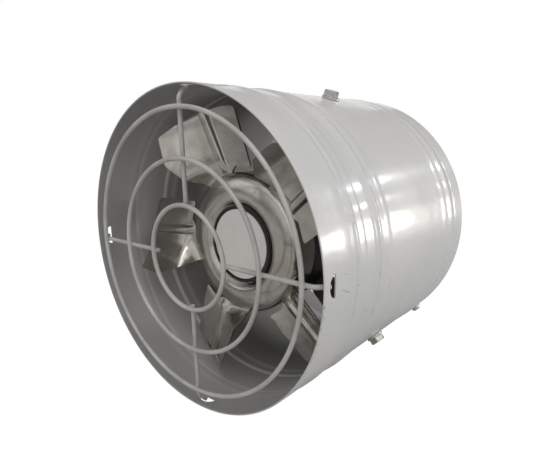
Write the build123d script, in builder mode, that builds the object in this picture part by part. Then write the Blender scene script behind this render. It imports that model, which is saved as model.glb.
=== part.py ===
"""In-line exhaust fan: a round duct casing, a wire guard, and a pressed impeller on an external-rotor motor.

The tube's axis is the Y axis and the front rim lies in the plane y = 0, with the guard facing -Y and +Z up.
Angles about the axis run from +X towards +Z. All lengths are in millimetres.
"""

from build123d import *
from math import cos, radians, sin, sqrt
import os

os.makedirs("parts", exist_ok=True)

# Casing tube
CASE_R = 100.0
CASE_LENGTH = 194.0
SHEET = 1.0
CASE_IN = CASE_R - SHEET
DRILL_START = 4.0
DRILL = 10.0

# Wire guard
WIRE = 2.8
RING_RADII = {"outer": 87.1, "middle": 58.9, "inner": 32.1}
RING_Y = -1.3
SPOKE_Y = 1.3
SPOKE_START = 30.6
SPOKE_BEND = 92.5
HOOK_DEPTH = 1.3
HOOK_RISE = 5.6
BEND_R = 5.0
SLIT_HALF = 7.3
SLIT_FRONT = 4.4
SLIT_REAR = 9.8

# Motor mounting on the casing
BOLT_ANGLES = (74.0, 194.0, 314.0)
BOLT_Y = 110.0
BOLT_R = 3.0
BOLT_HOLE_R = 3.3
BOLT_HEAD_FLATS = 10.0

# Impeller
HUB_R = 48.0
HUB_SIDE_Y = 47.6
HUB_REAR_Y = 64.0
HUB_SHEET = 1.5
RECESS_R = 27.3
RECESS_Y = 45.2
HUB_FACE = ((30.0, 42.9), (34.5, 41.5), (40.5, 42.3), (45.6, 44.2))
HUB_BACK = ((44.6, 45.6), (40.2, 43.8), (34.5, 43.0), (31.2, 44.0))
HUB_BACK_SIDE_Y = 48.0
HUB_BACK_R = 28.8
BLADE_COUNT = 5
FIRST_RIB_ANGLE = 104.0
BLADE_SHEET = 1.5
BLADE_SLANT = 1.15
BLADE_REACH = 80.0

# Motor
CAN_R = HUB_R - HUB_SHEET
CAN_WALL = 2.3
CAN_CORNER = 2.5
CAN_FRONT_Y = RECESS_Y + HUB_SHEET
CAN_REAR_Y = 84.0
SHAFT_R = 4.0
BEARING_R = 11.0
BEARING_LENGTH = 7.0
FRONT_BEARING_Y = 55.5
REAR_BEARING_Y = 82.0
AIR_GAP = 0.4
FLANGE_FRONT_Y = 86.0
FLANGE_REAR_Y = 93.0
FLANGE_R = 43.0
BRACKET_SHEET = 2.5


def finish(part, name):
    """Labels a finished piece and writes its file."""
    part.label = name
    export_step(part, f"parts/{name}.step")


def radial_plane(angle, radius, y):
    """A plane square to the radius at this angle, facing outwards, with its own x axis along the tube."""
    outward = (cos(radians(angle)), 0, sin(radians(angle)))
    return Plane(origin=(radius * outward[0], y, radius * outward[2]), x_dir=(0, 1, 0), z_dir=outward)


def ring_profile(r_in, r_out, y_front, y_rear):
    """Draws the section of a plain ring, for a revolve about Y."""
    with Locations(((r_in + r_out) / 2, (y_front + y_rear) / 2)):
        Rectangle(r_out - r_in, y_rear - y_front)


# Casing tube: one sheet rolled round and welded, with three zones of beads and slits for the guard's hooks.
# Each stretch of the wall is a straight run or a shallow arc: start, end, and the rise at its middle.
WALL_RUNS = (
    (0.0, 23.5, 0.0),
    (23.5, 33.0, 1.1),
    (33.0, 41.0, 0.0),
    (41.0, 52.0, -0.7),
    (52.0, 60.0, 1.1),
    (60.0, 71.0, 0.6),
    (71.0, 152.0, 0.0),
    (152.0, 176.0, 1.1),
    (176.0, CASE_LENGTH, 0.0),
)


def wall_line(radius):
    """Draws one side of the casing wall at this radius."""
    for start, end, rise in WALL_RUNS:
        if rise == 0:
            Line((radius, start), (radius, end))
        else:
            ThreePointArc((radius, start), (radius + rise, (start + end) / 2), (radius, end))


with BuildPart() as casing_tube:
    with BuildSketch(Plane.XY):
        with BuildLine():
            wall_line(CASE_R)
            wall_line(CASE_IN)
            Line((CASE_IN, 0), (CASE_R, 0))
            Line((CASE_IN, CASE_LENGTH), (CASE_R, CASE_LENGTH))
        make_face()
    revolve(axis=Axis.Y)
    for slit_angle in (0, 90, 180, 270):
        with BuildSketch(radial_plane(slit_angle, CASE_IN - DRILL_START, 0)):
            with BuildLine():
                Line((SLIT_REAR, -SLIT_HALF), (SLIT_REAR, SLIT_HALF))
                ThreePointArc((SLIT_REAR, SLIT_HALF), (SLIT_FRONT, 0), (SLIT_REAR, -SLIT_HALF))
            make_face()
        extrude(amount=DRILL, mode=Mode.SUBTRACT)
    for bolt_angle in BOLT_ANGLES:
        with BuildSketch(radial_plane(bolt_angle, CASE_IN - DRILL_START, BOLT_Y)):
            Circle(BOLT_HOLE_R)
        extrude(amount=DRILL, mode=Mode.SUBTRACT)

# Cable gland place, on the lower left of the casing, and earth screw place near the rear rim
GLAND_ANGLE = 225.0
GLAND_Y = 132.0
GLAND_HOLE_R = 8.2
EARTH_ANGLE = 313.0
EARTH_Y = 186.0
EARTH_HOLE_R = 2.2

with BuildPart() as casing_drilled:
    add(casing_tube.part)
    with BuildSketch(radial_plane(GLAND_ANGLE, CASE_IN - DRILL_START, GLAND_Y)):
        Circle(GLAND_HOLE_R)
    extrude(amount=DRILL, mode=Mode.SUBTRACT)
    with BuildSketch(radial_plane(EARTH_ANGLE, CASE_IN - DRILL_START, EARTH_Y)):
        Circle(EARTH_HOLE_R)
    extrude(amount=DRILL, mode=Mode.SUBTRACT)
finish(casing_drilled.part, "casing_tube")

# Wire guard: three round rings, welded in front of four spokes
for ring_name, ring_r in RING_RADII.items():
    with BuildPart() as guard_ring:
        with BuildSketch(Plane.XY):
            with Locations((ring_r, RING_Y)):
                Circle(WIRE / 2)
        revolve(axis=Axis.Y)
    finish(guard_ring.part, f"guard_ring_{ring_name}")

# Each spoke runs out to the rim, then bends back so that its end sits in a slit of the casing.
with BuildPart() as spoke:
    with BuildLine() as spoke_path:
        FilletPolyline(
            (SPOKE_START, SPOKE_Y, 0),
            (SPOKE_BEND, SPOKE_Y, 0),
            (CASE_R - HOOK_DEPTH, SPOKE_Y + HOOK_RISE, 0),
            radius=BEND_R,
        )
    with BuildSketch(Plane(origin=spoke_path.line @ 0, z_dir=spoke_path.line % 0)):
        Circle(WIRE / 2)
    sweep()

for spoke_name, spoke_angle in {"right": 0, "top": 90, "left": 180, "bottom": 270}.items():
    turned_spoke = spoke.part.rotate(Axis.Y, -spoke_angle)
    finish(turned_spoke, f"guard_spoke_{spoke_name}")

# Impeller hub: a pressed pan with a dished face and a skirt that sits on the rotor can
with BuildPart() as hub_envelope:
    with BuildSketch(Plane.XY):
        with BuildLine():
            Line((0, RECESS_Y), (RECESS_R, RECESS_Y))
            Spline((RECESS_R, RECESS_Y), *HUB_FACE, (HUB_R, HUB_SIDE_Y), tangents=((0.2, -1), (0, 1)))
            Line((HUB_R, HUB_SIDE_Y), (HUB_R, HUB_REAR_Y))
            Line((HUB_R, HUB_REAR_Y), (0, HUB_REAR_Y))
            Line((0, HUB_REAR_Y), (0, RECESS_Y))
        make_face()
    revolve(axis=Axis.Y)

with BuildPart() as impeller_hub:
    add(hub_envelope.part)
    with BuildSketch(Plane.XY):
        with BuildLine():
            Line((0, HUB_REAR_Y), (CAN_R, HUB_REAR_Y))
            Line((CAN_R, HUB_REAR_Y), (CAN_R, HUB_BACK_SIDE_Y))
            Spline(
                (CAN_R, HUB_BACK_SIDE_Y),
                *HUB_BACK,
                (HUB_BACK_R, CAN_FRONT_Y),
                tangents=((0, -1), (-0.2, 1)),
            )
            Line((HUB_BACK_R, CAN_FRONT_Y), (0, CAN_FRONT_Y))
            Line((0, CAN_FRONT_Y), (0, HUB_REAR_Y))
        make_face()
    revolve(axis=Axis.Y, mode=Mode.SUBTRACT)
finish(impeller_hub.part, "impeller_hub")

# Blades: each is pressed sheet with a camber, a raised rib, and a facet bent forward along its leading edge.
# A section is listed across the blade as (z, y), from the trailing edge to the leading edge.
ROOT_SECTION = (
    (-24.0, 46.6),
    (-12.0, 46.7),
    (-3.4, 46.6),
    (-1.8, 44.6),
    (1.8, 44.7),
    (3.4, 46.6),
    (12.0, 46.9),
    (24.0, 46.8),
    (32.0, 46.4),
)
NECK_SECTION = (
    (-24.0, 46.6),
    (-10.0, 45.9),
    (-2.9, 45.0),
    (-1.3, 43.0),
    (2.1, 42.7),
    (3.7, 44.3),
    (13.0, 39.6),
    (24.5, 31.5),
    (32.0, 21.0),
)
TIP_SECTION = (
    (-22.0, 46.0),
    (-8.0, 43.9),
    (0.6, 42.3),
    (2.2, 40.3),
    (6.2, 39.0),
    (7.8, 40.0),
    (14.5, 36.2),
    (23.5, 30.0),
    (32.0, 19.5),
)
ROOT_X = 42.0
NECK_X = 57.0
TIP_X = 92.0


def sheet_outline(points):
    """Gives the sheet's section in (y, z): its front face, then its rear face, further back on a slant."""
    front = [(y, z) for z, y in points]
    rear = [(y + BLADE_SHEET * BLADE_SLANT, z) for z, y in reversed(points)]
    return front + rear


with BuildPart() as blade:
    for section_x, section in ((ROOT_X, ROOT_SECTION), (NECK_X, NECK_SECTION), (TIP_X, TIP_SECTION)):
        with BuildSketch(Plane.YZ.offset(section_x)):
            with BuildLine():
                Polyline(*sheet_outline(section), close=True)
            make_face()
    loft(ruled=True)
    with BuildSketch(Plane.XZ):
        with BuildLine():
            Polyline((40, 17), (43.8, 22.6), (50.5, 26.5))
            ThreePointArc((50.5, 26.5), (54.5, 29.6), (61.0, 30.8))
            Line((61.0, 30.8), (79.6, 30.8))
            Polyline((79.6, 30.8), (85.4, 23.4), (90.0, 4.7))
            ThreePointArc((90.0, 4.7), (90.3, -7.0), (88.6, -18.4))
            Line((88.6, -18.4), (47.8, -22.0))
            ThreePointArc((47.8, -22.0), (50.4, -14.0), (51.4, -7.5))
            Polyline((51.4, -7.5), (49.2, -4.6), (40, -4.6), (40, 17))
        make_face()
    extrude(amount=BLADE_REACH, both=True, mode=Mode.INTERSECT)
    add(hub_envelope.part, mode=Mode.SUBTRACT)

for blade_index in range(BLADE_COUNT):
    blade_angle = FIRST_RIB_ANGLE + 360 / BLADE_COUNT * blade_index
    turned_blade = blade.part.rotate(Axis.Y, -blade_angle)
    finish(turned_blade, f"blade_{blade_index + 1}")

# Hub cap: a black moulded disc in the hub's recess, with a low rim around the label
CAP_R = 26.7
CAP_FRONT_Y = 43.3
LABEL_R = 25.0
LABEL_Y = 43.6
LABEL_SHEET = 0.6
with BuildPart() as hub_cap:
    with BuildSketch(Plane.XY):
        with BuildLine():
            Polyline(
                (0, LABEL_Y + LABEL_SHEET),
                (LABEL_R, LABEL_Y + LABEL_SHEET),
                (LABEL_R, CAP_FRONT_Y),
                (CAP_R - 0.4, CAP_FRONT_Y),
                (CAP_R, CAP_FRONT_Y + 0.4),
                (CAP_R, RECESS_Y),
                (0, RECESS_Y),
                close=True,
            )
        make_face()
    revolve(axis=Axis.Y)
finish(hub_cap.part, "hub_cap")

with BuildPart() as hub_label:
    with BuildSketch(Plane.XY):
        ring_profile(0, LABEL_R, LABEL_Y, LABEL_Y + LABEL_SHEET)
    revolve(axis=Axis.Y)
finish(hub_label.part, "hub_label")

# Rotor can: a deep cup that turns round the stator, with a boss that holds the shaft
BOSS_R = 8.0
BOSS_REAR_Y = 53.0
with BuildPart() as rotor_can:
    with BuildSketch(Plane.XY):
        with BuildLine():
            Polyline(
                (SHAFT_R, CAN_FRONT_Y),
                (CAN_R - CAN_CORNER, CAN_FRONT_Y),
                (CAN_R, CAN_FRONT_Y + CAN_CORNER),
                (CAN_R, CAN_REAR_Y),
                (CAN_R - CAN_WALL, CAN_REAR_Y),
                (CAN_R - CAN_WALL, CAN_FRONT_Y + CAN_WALL),
                (BOSS_R, CAN_FRONT_Y + CAN_WALL),
                (BOSS_R, BOSS_REAR_Y),
                (SHAFT_R, BOSS_REAR_Y),
                close=True,
            )
        make_face()
    revolve(axis=Axis.Y)
finish(rotor_can.part, "rotor_can")

# Rotor core: the ring of laminations with its cast cage, pressed into the can
CORE_FRONT_Y = 59.0
CORE_REAR_Y = 79.0
ROTOR_CORE_IN = 36.6
CAGE_BAR_R = 1.3
CAGE_BAR_PLACE_R = ROTOR_CORE_IN + 2.4
CAGE_BAR_COUNT = 20
CAGE_RING = 3.0
CAGE_STEP = 0.6
with BuildPart() as rotor_core:
    with BuildSketch(Plane.XZ.offset(-CORE_FRONT_Y)):
        Circle(CAN_R - CAN_WALL)
        Circle(ROTOR_CORE_IN, mode=Mode.SUBTRACT)
        with PolarLocations(CAGE_BAR_PLACE_R, CAGE_BAR_COUNT):
            Circle(CAGE_BAR_R, mode=Mode.SUBTRACT)
    extrude(amount=CORE_FRONT_Y - CORE_REAR_Y)
finish(rotor_core.part, "rotor_core")

# Rotor cage: end rings joined by bars that fill the core's slots
with BuildPart() as rotor_cage:
    for ring_front in (CORE_FRONT_Y - CAGE_RING, CORE_REAR_Y):
        with BuildSketch(Plane.XY):
            ring_profile(
                ROTOR_CORE_IN + CAGE_STEP, CAN_R - CAN_WALL - CAGE_STEP, ring_front, ring_front + CAGE_RING
            )
        revolve(axis=Axis.Y)
    with BuildSketch(Plane.XZ.offset(-CORE_FRONT_Y)):
        with PolarLocations(CAGE_BAR_PLACE_R, CAGE_BAR_COUNT):
            Circle(CAGE_BAR_R)
    extrude(amount=CORE_FRONT_Y - CORE_REAR_Y)
finish(rotor_cage.part, "rotor_cage")

# Shaft: pressed into the can's boss, it turns in the bearings and is held by a retaining ring
SHAFT_REAR_Y = 92.4
GROOVE_Y = 90.0
GROOVE_WIDTH = 1.0
GROOVE_R = 3.5
SHAFT_CHAMFER = 0.6
RETAINER_R = 6.0
RETAINER_GAP = 3.0
RETAINER_GAP_Z = -5.0
with BuildPart() as motor_shaft:
    with BuildSketch(Plane.XY):
        with BuildLine():
            Polyline(
                (0, CAN_FRONT_Y),
                (SHAFT_R, CAN_FRONT_Y),
                (SHAFT_R, GROOVE_Y),
                (GROOVE_R, GROOVE_Y),
                (GROOVE_R, GROOVE_Y + GROOVE_WIDTH),
                (SHAFT_R, GROOVE_Y + GROOVE_WIDTH),
                (SHAFT_R, SHAFT_REAR_Y - SHAFT_CHAMFER),
                (SHAFT_R - SHAFT_CHAMFER, SHAFT_REAR_Y),
                (0, SHAFT_REAR_Y),
                close=True,
            )
        make_face()
    revolve(axis=Axis.Y)
finish(motor_shaft.part, "motor_shaft")

with BuildPart() as retaining_ring:
    with BuildSketch(Plane.XZ.offset(-GROOVE_Y)):
        Circle(RETAINER_R)
        Circle(GROOVE_R, mode=Mode.SUBTRACT)
        with Locations((0, RETAINER_GAP_Z)):
            Rectangle(RETAINER_GAP, RETAINER_R, mode=Mode.SUBTRACT)
    extrude(amount=-GROOVE_WIDTH)
finish(retaining_ring.part, "retaining_ring")

# Ball bearings: an outer race pressed into the stator flange, an inner race on the shaft, and balls
INNER_RACE_R = 6.0
OUTER_RACE_R = 9.0
BALL_R = 1.25
BALL_COUNT = 8
for bearing_name, bearing_y in {"front": FRONT_BEARING_Y, "rear": REAR_BEARING_Y}.items():
    bearing_rear = bearing_y + BEARING_LENGTH
    with BuildPart() as outer_race:
        with BuildSketch(Plane.XY):
            ring_profile(OUTER_RACE_R, BEARING_R, bearing_y, bearing_rear)
        revolve(axis=Axis.Y)
    finish(outer_race.part, f"{bearing_name}_bearing_outer_race")
    with BuildPart() as inner_race:
        with BuildSketch(Plane.XY):
            ring_profile(SHAFT_R, INNER_RACE_R, bearing_y, bearing_rear)
        revolve(axis=Axis.Y)
    finish(inner_race.part, f"{bearing_name}_bearing_inner_race")
    with BuildPart(Plane.XZ.offset(-(bearing_y + BEARING_LENGTH / 2))) as balls:
        with PolarLocations(OUTER_RACE_R - BALL_R, BALL_COUNT):
            Sphere(BALL_R)
    finish(balls.part, f"{bearing_name}_bearing_balls")

# Stator flange: a cast disc with a tube that carries both bearings and the stator core
TUBE_R = 13.5
SEAT_SHOULDER_R = 9.6
FLANGE_SCREW_PLACE_R = 34.0
FLANGE_SCREW_SPOTS = [
    (FLANGE_SCREW_PLACE_R * cos(radians(angle)), FLANGE_SCREW_PLACE_R * sin(radians(angle)))
    for angle in (14.0, 134.0, 254.0)
]
TAPPED_R = 2.0
FLANGE_SCREW_HOLE_R = 2.3
with BuildPart() as stator_flange:
    with BuildSketch(Plane.XY):
        with BuildLine():
            Polyline(
                (BEARING_R, FRONT_BEARING_Y),
                (TUBE_R, FRONT_BEARING_Y),
                (TUBE_R, FLANGE_FRONT_Y),
                (FLANGE_R, FLANGE_FRONT_Y),
                (FLANGE_R, FLANGE_REAR_Y),
                (BEARING_R, FLANGE_REAR_Y),
                (BEARING_R, REAR_BEARING_Y),
                (SEAT_SHOULDER_R, REAR_BEARING_Y),
                (SEAT_SHOULDER_R, FRONT_BEARING_Y + BEARING_LENGTH),
                (BEARING_R, FRONT_BEARING_Y + BEARING_LENGTH),
                close=True,
            )
        make_face()
    revolve(axis=Axis.Y)
    with BuildSketch(Plane.XZ.offset(-FLANGE_REAR_Y)):
        with Locations(*FLANGE_SCREW_SPOTS):
            Circle(TAPPED_R)
    extrude(amount=DRILL, mode=Mode.SUBTRACT)
finish(stator_flange.part, "stator_flange")

# Stator core: laminations with twelve open slots, pressed on the flange's tube
STATOR_R = ROTOR_CORE_IN - AIR_GAP
SLOT_COUNT = 12
SLOT_FLOOR_R = 20.0
SLOT_WIDTH = 5.0
SLOT_TOP_R = STATOR_R - 3.0
SLOT_MIDDLE_R = (SLOT_FLOOR_R + SLOT_TOP_R) / 2
SLOT_MOUTH = 2.0
SLOT_MOUTH_R = STATOR_R - 2.0
SLOT_MOUTH_DEPTH = 6.0
with BuildPart() as stator_core:
    with BuildSketch(Plane.XZ.offset(-CORE_FRONT_Y)):
        Circle(STATOR_R)
        Circle(TUBE_R, mode=Mode.SUBTRACT)
        with PolarLocations(SLOT_MIDDLE_R, SLOT_COUNT):
            Rectangle(SLOT_TOP_R - SLOT_FLOOR_R, SLOT_WIDTH, mode=Mode.SUBTRACT)
        with PolarLocations(SLOT_MOUTH_R, SLOT_COUNT):
            Rectangle(SLOT_MOUTH_DEPTH, SLOT_MOUTH, mode=Mode.SUBTRACT)
    extrude(amount=CORE_FRONT_Y - CORE_REAR_Y)
finish(stator_core.part, "stator_core")

# Stator winding: the bars that fill the slots, joined by a varnished bundle at each end
END_TURN = 4.0
END_TURN_CORNER = 1.2
COIL_DEPTH = SLOT_TOP_R - SLOT_FLOOR_R - 0.6
COIL_WIDTH = SLOT_WIDTH - 0.4
with BuildPart() as stator_winding:
    with BuildSketch(Plane.XZ.offset(-CORE_FRONT_Y)):
        with PolarLocations(SLOT_MIDDLE_R, SLOT_COUNT):
            Rectangle(COIL_DEPTH, COIL_WIDTH)
    extrude(amount=CORE_FRONT_Y - CORE_REAR_Y)
    for turn_front in (CORE_FRONT_Y - END_TURN, CORE_REAR_Y):
        with BuildSketch(Plane.XY):
            with Locations((SLOT_MIDDLE_R, turn_front + END_TURN / 2)):
                RectangleRounded(COIL_DEPTH, END_TURN, END_TURN_CORNER)
        revolve(axis=Axis.Y)
finish(stator_winding.part, "stator_winding")

# Motor bracket: one pressed plate with three arms, whose bent feet lie against the casing wall
ARM_WIDTH = 22.0
PLATE_R = 41.0
FOOT_SHEET = 2.5
FOOT_REAR_Y = 124.0
TRIM = 1.0
BRACKET_REAR_Y = FLANGE_REAR_Y + BRACKET_SHEET
FOOT_IN = CASE_IN - FOOT_SHEET
with BuildPart() as motor_bracket:
    with BuildSketch(Plane.XZ.offset(-FLANGE_REAR_Y)):
        Circle(PLATE_R)
    extrude(amount=-BRACKET_SHEET)
    for arm_angle in BOLT_ANGLES:
        arm_plane = Plane(
            origin=(0, FLANGE_REAR_Y, 0),
            x_dir=(cos(radians(arm_angle)), 0, sin(radians(arm_angle))),
            z_dir=(0, 1, 0),
        )
        with BuildSketch(arm_plane):
            with Locations((CASE_IN / 2, 0)):
                Rectangle(CASE_IN, ARM_WIDTH)
        extrude(amount=FOOT_REAR_Y - FLANGE_REAR_Y)
    with BuildSketch(Plane.XY):
        ring_profile(0, FOOT_IN, BRACKET_REAR_Y, FOOT_REAR_Y + TRIM)
    revolve(axis=Axis.Y, mode=Mode.SUBTRACT)
    with BuildSketch(Plane.XY):
        ring_profile(CASE_IN, CASE_IN + DRILL, FLANGE_REAR_Y - TRIM, FOOT_REAR_Y + TRIM)
    revolve(axis=Axis.Y, mode=Mode.SUBTRACT)
    with BuildSketch(Plane.XZ.offset(-BRACKET_REAR_Y)):
        Circle(SEAT_SHOULDER_R)
        with Locations(*FLANGE_SCREW_SPOTS):
            Circle(FLANGE_SCREW_HOLE_R)
    extrude(amount=BRACKET_SHEET, mode=Mode.SUBTRACT)
    for bolt_angle in BOLT_ANGLES:
        with BuildSketch(radial_plane(bolt_angle, FOOT_IN - DRILL_START, BOLT_Y)):
            Circle(BOLT_HOLE_R)
        extrude(amount=DRILL, mode=Mode.SUBTRACT)
finish(motor_bracket.part, "motor_bracket")

# Flange screws: pan heads that hold the bracket to the stator flange
FLANGE_SCREW_LENGTH = 8.0
FLANGE_SCREW_HEAD_R = 3.8
FLANGE_SCREW_HEAD = 2.6
FLANGE_CROSS = 4.4
HEAD_TAPER = 8.0
CROSS_WIDTH = 0.9
CROSS_DEPTH = 1.4
with BuildPart() as flange_screws:
    for screw_spot in FLANGE_SCREW_SPOTS:
        with BuildSketch(Plane.XZ.offset(-BRACKET_REAR_Y)):
            with Locations(screw_spot):
                Circle(TAPPED_R)
        extrude(amount=FLANGE_SCREW_LENGTH)
        with BuildSketch(Plane.XZ.offset(-BRACKET_REAR_Y)):
            with Locations(screw_spot):
                Circle(FLANGE_SCREW_HEAD_R)
        extrude(amount=-FLANGE_SCREW_HEAD, taper=HEAD_TAPER)
        with BuildSketch(Plane.XZ.offset(-(BRACKET_REAR_Y + FLANGE_SCREW_HEAD))):
            with Locations(screw_spot):
                Rectangle(FLANGE_CROSS, CROSS_WIDTH)
                Rectangle(CROSS_WIDTH, FLANGE_CROSS)
        extrude(amount=CROSS_DEPTH, mode=Mode.SUBTRACT)
finish(flange_screws.part, "flange_screws")

# Casing bolts: hex heads outside, each on a washer, with a nut against the foot inside
WASHER_SHEET = 1.6
WASHER_R = 6.2
WASHER_HOLE_R = 3.2
BOLT_HEAD = 4.0
BOLT_END_R = 87.5
NUT_THICK = 5.0
with BuildPart() as casing_bolts:
    for bolt_angle in BOLT_ANGLES:
        with BuildSketch(radial_plane(bolt_angle, BOLT_END_R, BOLT_Y)):
            Circle(BOLT_R)
        extrude(amount=CASE_R + WASHER_SHEET - BOLT_END_R)
        with BuildSketch(radial_plane(bolt_angle, CASE_R + WASHER_SHEET, BOLT_Y)):
            RegularPolygon(BOLT_HEAD_FLATS / 2, 6, major_radius=False)
        extrude(amount=BOLT_HEAD)
finish(casing_bolts.part, "casing_bolts")

with BuildPart() as bolt_washers:
    for bolt_angle in BOLT_ANGLES:
        with BuildSketch(radial_plane(bolt_angle, CASE_R, BOLT_Y)):
            Circle(WASHER_R)
            Circle(WASHER_HOLE_R, mode=Mode.SUBTRACT)
        extrude(amount=WASHER_SHEET)
finish(bolt_washers.part, "bolt_washers")

NUT_SEAT_R = sqrt(FOOT_IN**2 - (BOLT_HEAD_FLATS / sqrt(3)) ** 2)
with BuildPart() as bracket_nuts:
    for bolt_angle in BOLT_ANGLES:
        with BuildSketch(radial_plane(bolt_angle, NUT_SEAT_R - NUT_THICK, BOLT_Y)):
            RegularPolygon(BOLT_HEAD_FLATS / 2, 6, major_radius=False)
            Circle(BOLT_R, mode=Mode.SUBTRACT)
        extrude(amount=NUT_THICK)
finish(bracket_nuts.part, "bracket_nuts")

# Run capacitor: a moulded block behind the bracket, under a bent strap with two screws
CAP_WIDTH = 38.0
CAP_HEIGHT = 18.0
CAP_DEPTH = 26.0
STRAP_SHEET = 1.0
STRAP_WIDTH = 10.0
STRAP_EAR = 9.0
CAP_CORNER = 3.0
CAP_EDGE = 1.5
with BuildPart() as run_capacitor:
    with BuildSketch(Plane.XZ.offset(-BRACKET_REAR_Y)):
        RectangleRounded(CAP_WIDTH, CAP_HEIGHT, CAP_CORNER)
    extrude(amount=-CAP_DEPTH)
    fillet(run_capacitor.faces().sort_by(Axis.Y)[-1].edges(), radius=CAP_EDGE)
finish(run_capacitor.part, "run_capacitor")

STRAP_HALF = CAP_HEIGHT / 2 + STRAP_SHEET
STRAP_TOP_Y = BRACKET_REAR_Y + CAP_DEPTH
STRAP_SCREW_Z = STRAP_HALF + STRAP_EAR / 2
STRAP_HOLE_R = 1.7
STRAP_SCREW_R = 1.5
STRAP_HEAD_R = 2.8
STRAP_HEAD = 1.8
with BuildPart() as capacitor_strap:
    with BuildSketch(Plane.YZ):
        with BuildLine():
            Polyline(
                (BRACKET_REAR_Y, -STRAP_HALF - STRAP_EAR),
                (BRACKET_REAR_Y, -STRAP_HALF + STRAP_SHEET),
                (STRAP_TOP_Y, -STRAP_HALF + STRAP_SHEET),
                (STRAP_TOP_Y, STRAP_HALF - STRAP_SHEET),
                (BRACKET_REAR_Y, STRAP_HALF - STRAP_SHEET),
                (BRACKET_REAR_Y, STRAP_HALF + STRAP_EAR),
                (BRACKET_REAR_Y + STRAP_SHEET, STRAP_HALF + STRAP_EAR),
                (BRACKET_REAR_Y + STRAP_SHEET, STRAP_HALF),
                (STRAP_TOP_Y + STRAP_SHEET, STRAP_HALF),
                (STRAP_TOP_Y + STRAP_SHEET, -STRAP_HALF),
                (BRACKET_REAR_Y + STRAP_SHEET, -STRAP_HALF),
                (BRACKET_REAR_Y + STRAP_SHEET, -STRAP_HALF - STRAP_EAR),
                close=True,
            )
        make_face()
    extrude(amount=STRAP_WIDTH / 2, both=True)
    with BuildSketch(Plane.XZ.offset(-BRACKET_REAR_Y)):
        with Locations((0, STRAP_SCREW_Z), (0, -STRAP_SCREW_Z)):
            Circle(STRAP_HOLE_R)
    extrude(amount=-STRAP_SHEET, mode=Mode.SUBTRACT)
finish(capacitor_strap.part, "capacitor_strap")

with BuildPart() as strap_screws:
    for strap_z in (STRAP_SCREW_Z, -STRAP_SCREW_Z):
        with BuildSketch(Plane.XZ.offset(-(BRACKET_REAR_Y + STRAP_SHEET))):
            with Locations((0, strap_z)):
                Circle(STRAP_HEAD_R)
        extrude(amount=-STRAP_HEAD, taper=HEAD_TAPER)
        with BuildSketch(Plane.XZ.offset(-(BRACKET_REAR_Y + STRAP_SHEET))):
            with Locations((0, strap_z)):
                Circle(STRAP_SCREW_R)
        extrude(amount=STRAP_SHEET)
finish(strap_screws.part, "strap_screws")

# Cable gland: a threaded body through the casing, with a locknut inside, a seal and a clamping nut
GLAND_FLATS = 22.0
GLAND_BODY_R = 8.0
GLAND_COLLAR = 6.0
GLAND_NECK_R = 9.0
GLAND_NECK = 7.0
GLAND_NUT = 14.0
GLAND_NUT_HEX = GLAND_NUT * 0.6
GLAND_NUT_FRONT = 0.5
GLAND_CROWN_R = 10.5
GLAND_CROWN_TAPER = 25.0
GLAND_BORE_R = 5.0
GLAND_SEAT_R = 6.0
SEAL_BORE_R = 4.0
LOCKNUT = 3.0
GLAND_TAIL = 2.0
LOCKNUT_SEAT_R = sqrt(CASE_IN**2 - (GLAND_FLATS / sqrt(3)) ** 2)
GLAND_COLLAR_R = CASE_R + GLAND_COLLAR
with BuildPart() as gland_body:
    with BuildSketch(radial_plane(GLAND_ANGLE, LOCKNUT_SEAT_R - LOCKNUT - GLAND_TAIL, GLAND_Y)):
        Circle(GLAND_BODY_R)
    extrude(amount=CASE_R - LOCKNUT_SEAT_R + LOCKNUT + GLAND_TAIL)
    with BuildSketch(radial_plane(GLAND_ANGLE, CASE_R, GLAND_Y)):
        RegularPolygon(GLAND_FLATS / 2, 6, major_radius=False)
    extrude(amount=GLAND_COLLAR)
    with BuildSketch(radial_plane(GLAND_ANGLE, GLAND_COLLAR_R, GLAND_Y)):
        Circle(GLAND_NECK_R)
    extrude(amount=GLAND_NECK)
    with BuildSketch(radial_plane(GLAND_ANGLE, LOCKNUT_SEAT_R - LOCKNUT - GLAND_TAIL, GLAND_Y)):
        Circle(GLAND_SEAT_R)
    extrude(amount=3 * DRILL, mode=Mode.SUBTRACT)
finish(gland_body.part, "gland_body")

with BuildPart() as gland_locknut:
    with BuildSketch(radial_plane(GLAND_ANGLE, LOCKNUT_SEAT_R - LOCKNUT, GLAND_Y)):
        RegularPolygon(GLAND_FLATS / 2, 6, major_radius=False)
        Circle(GLAND_BODY_R, mode=Mode.SUBTRACT)
    extrude(amount=LOCKNUT)
finish(gland_locknut.part, "gland_locknut")

with BuildPart() as gland_seal:
    with BuildSketch(radial_plane(GLAND_ANGLE, GLAND_COLLAR_R, GLAND_Y)):
        Circle(GLAND_SEAT_R)
        Circle(SEAL_BORE_R, mode=Mode.SUBTRACT)
    extrude(amount=GLAND_NECK)
finish(gland_seal.part, "gland_seal")

with BuildPart() as gland_nut:
    with BuildSketch(radial_plane(GLAND_ANGLE, GLAND_COLLAR_R + GLAND_NUT_FRONT, GLAND_Y)):
        RegularPolygon(GLAND_FLATS / 2, 6, major_radius=False)
    extrude(amount=GLAND_NUT_HEX)
    with BuildSketch(radial_plane(GLAND_ANGLE, GLAND_COLLAR_R + GLAND_NUT_FRONT + GLAND_NUT_HEX, GLAND_Y)):
        Circle(GLAND_CROWN_R)
    extrude(amount=GLAND_NUT - GLAND_NUT_HEX, taper=GLAND_CROWN_TAPER)
    with BuildSketch(radial_plane(GLAND_ANGLE, GLAND_COLLAR_R, GLAND_Y)):
        Circle(GLAND_NECK_R)
    extrude(amount=GLAND_NECK, mode=Mode.SUBTRACT)
    with BuildSketch(radial_plane(GLAND_ANGLE, GLAND_COLLAR_R, GLAND_Y)):
        Circle(GLAND_BORE_R)
    extrude(amount=2 * DRILL, mode=Mode.SUBTRACT)
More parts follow.
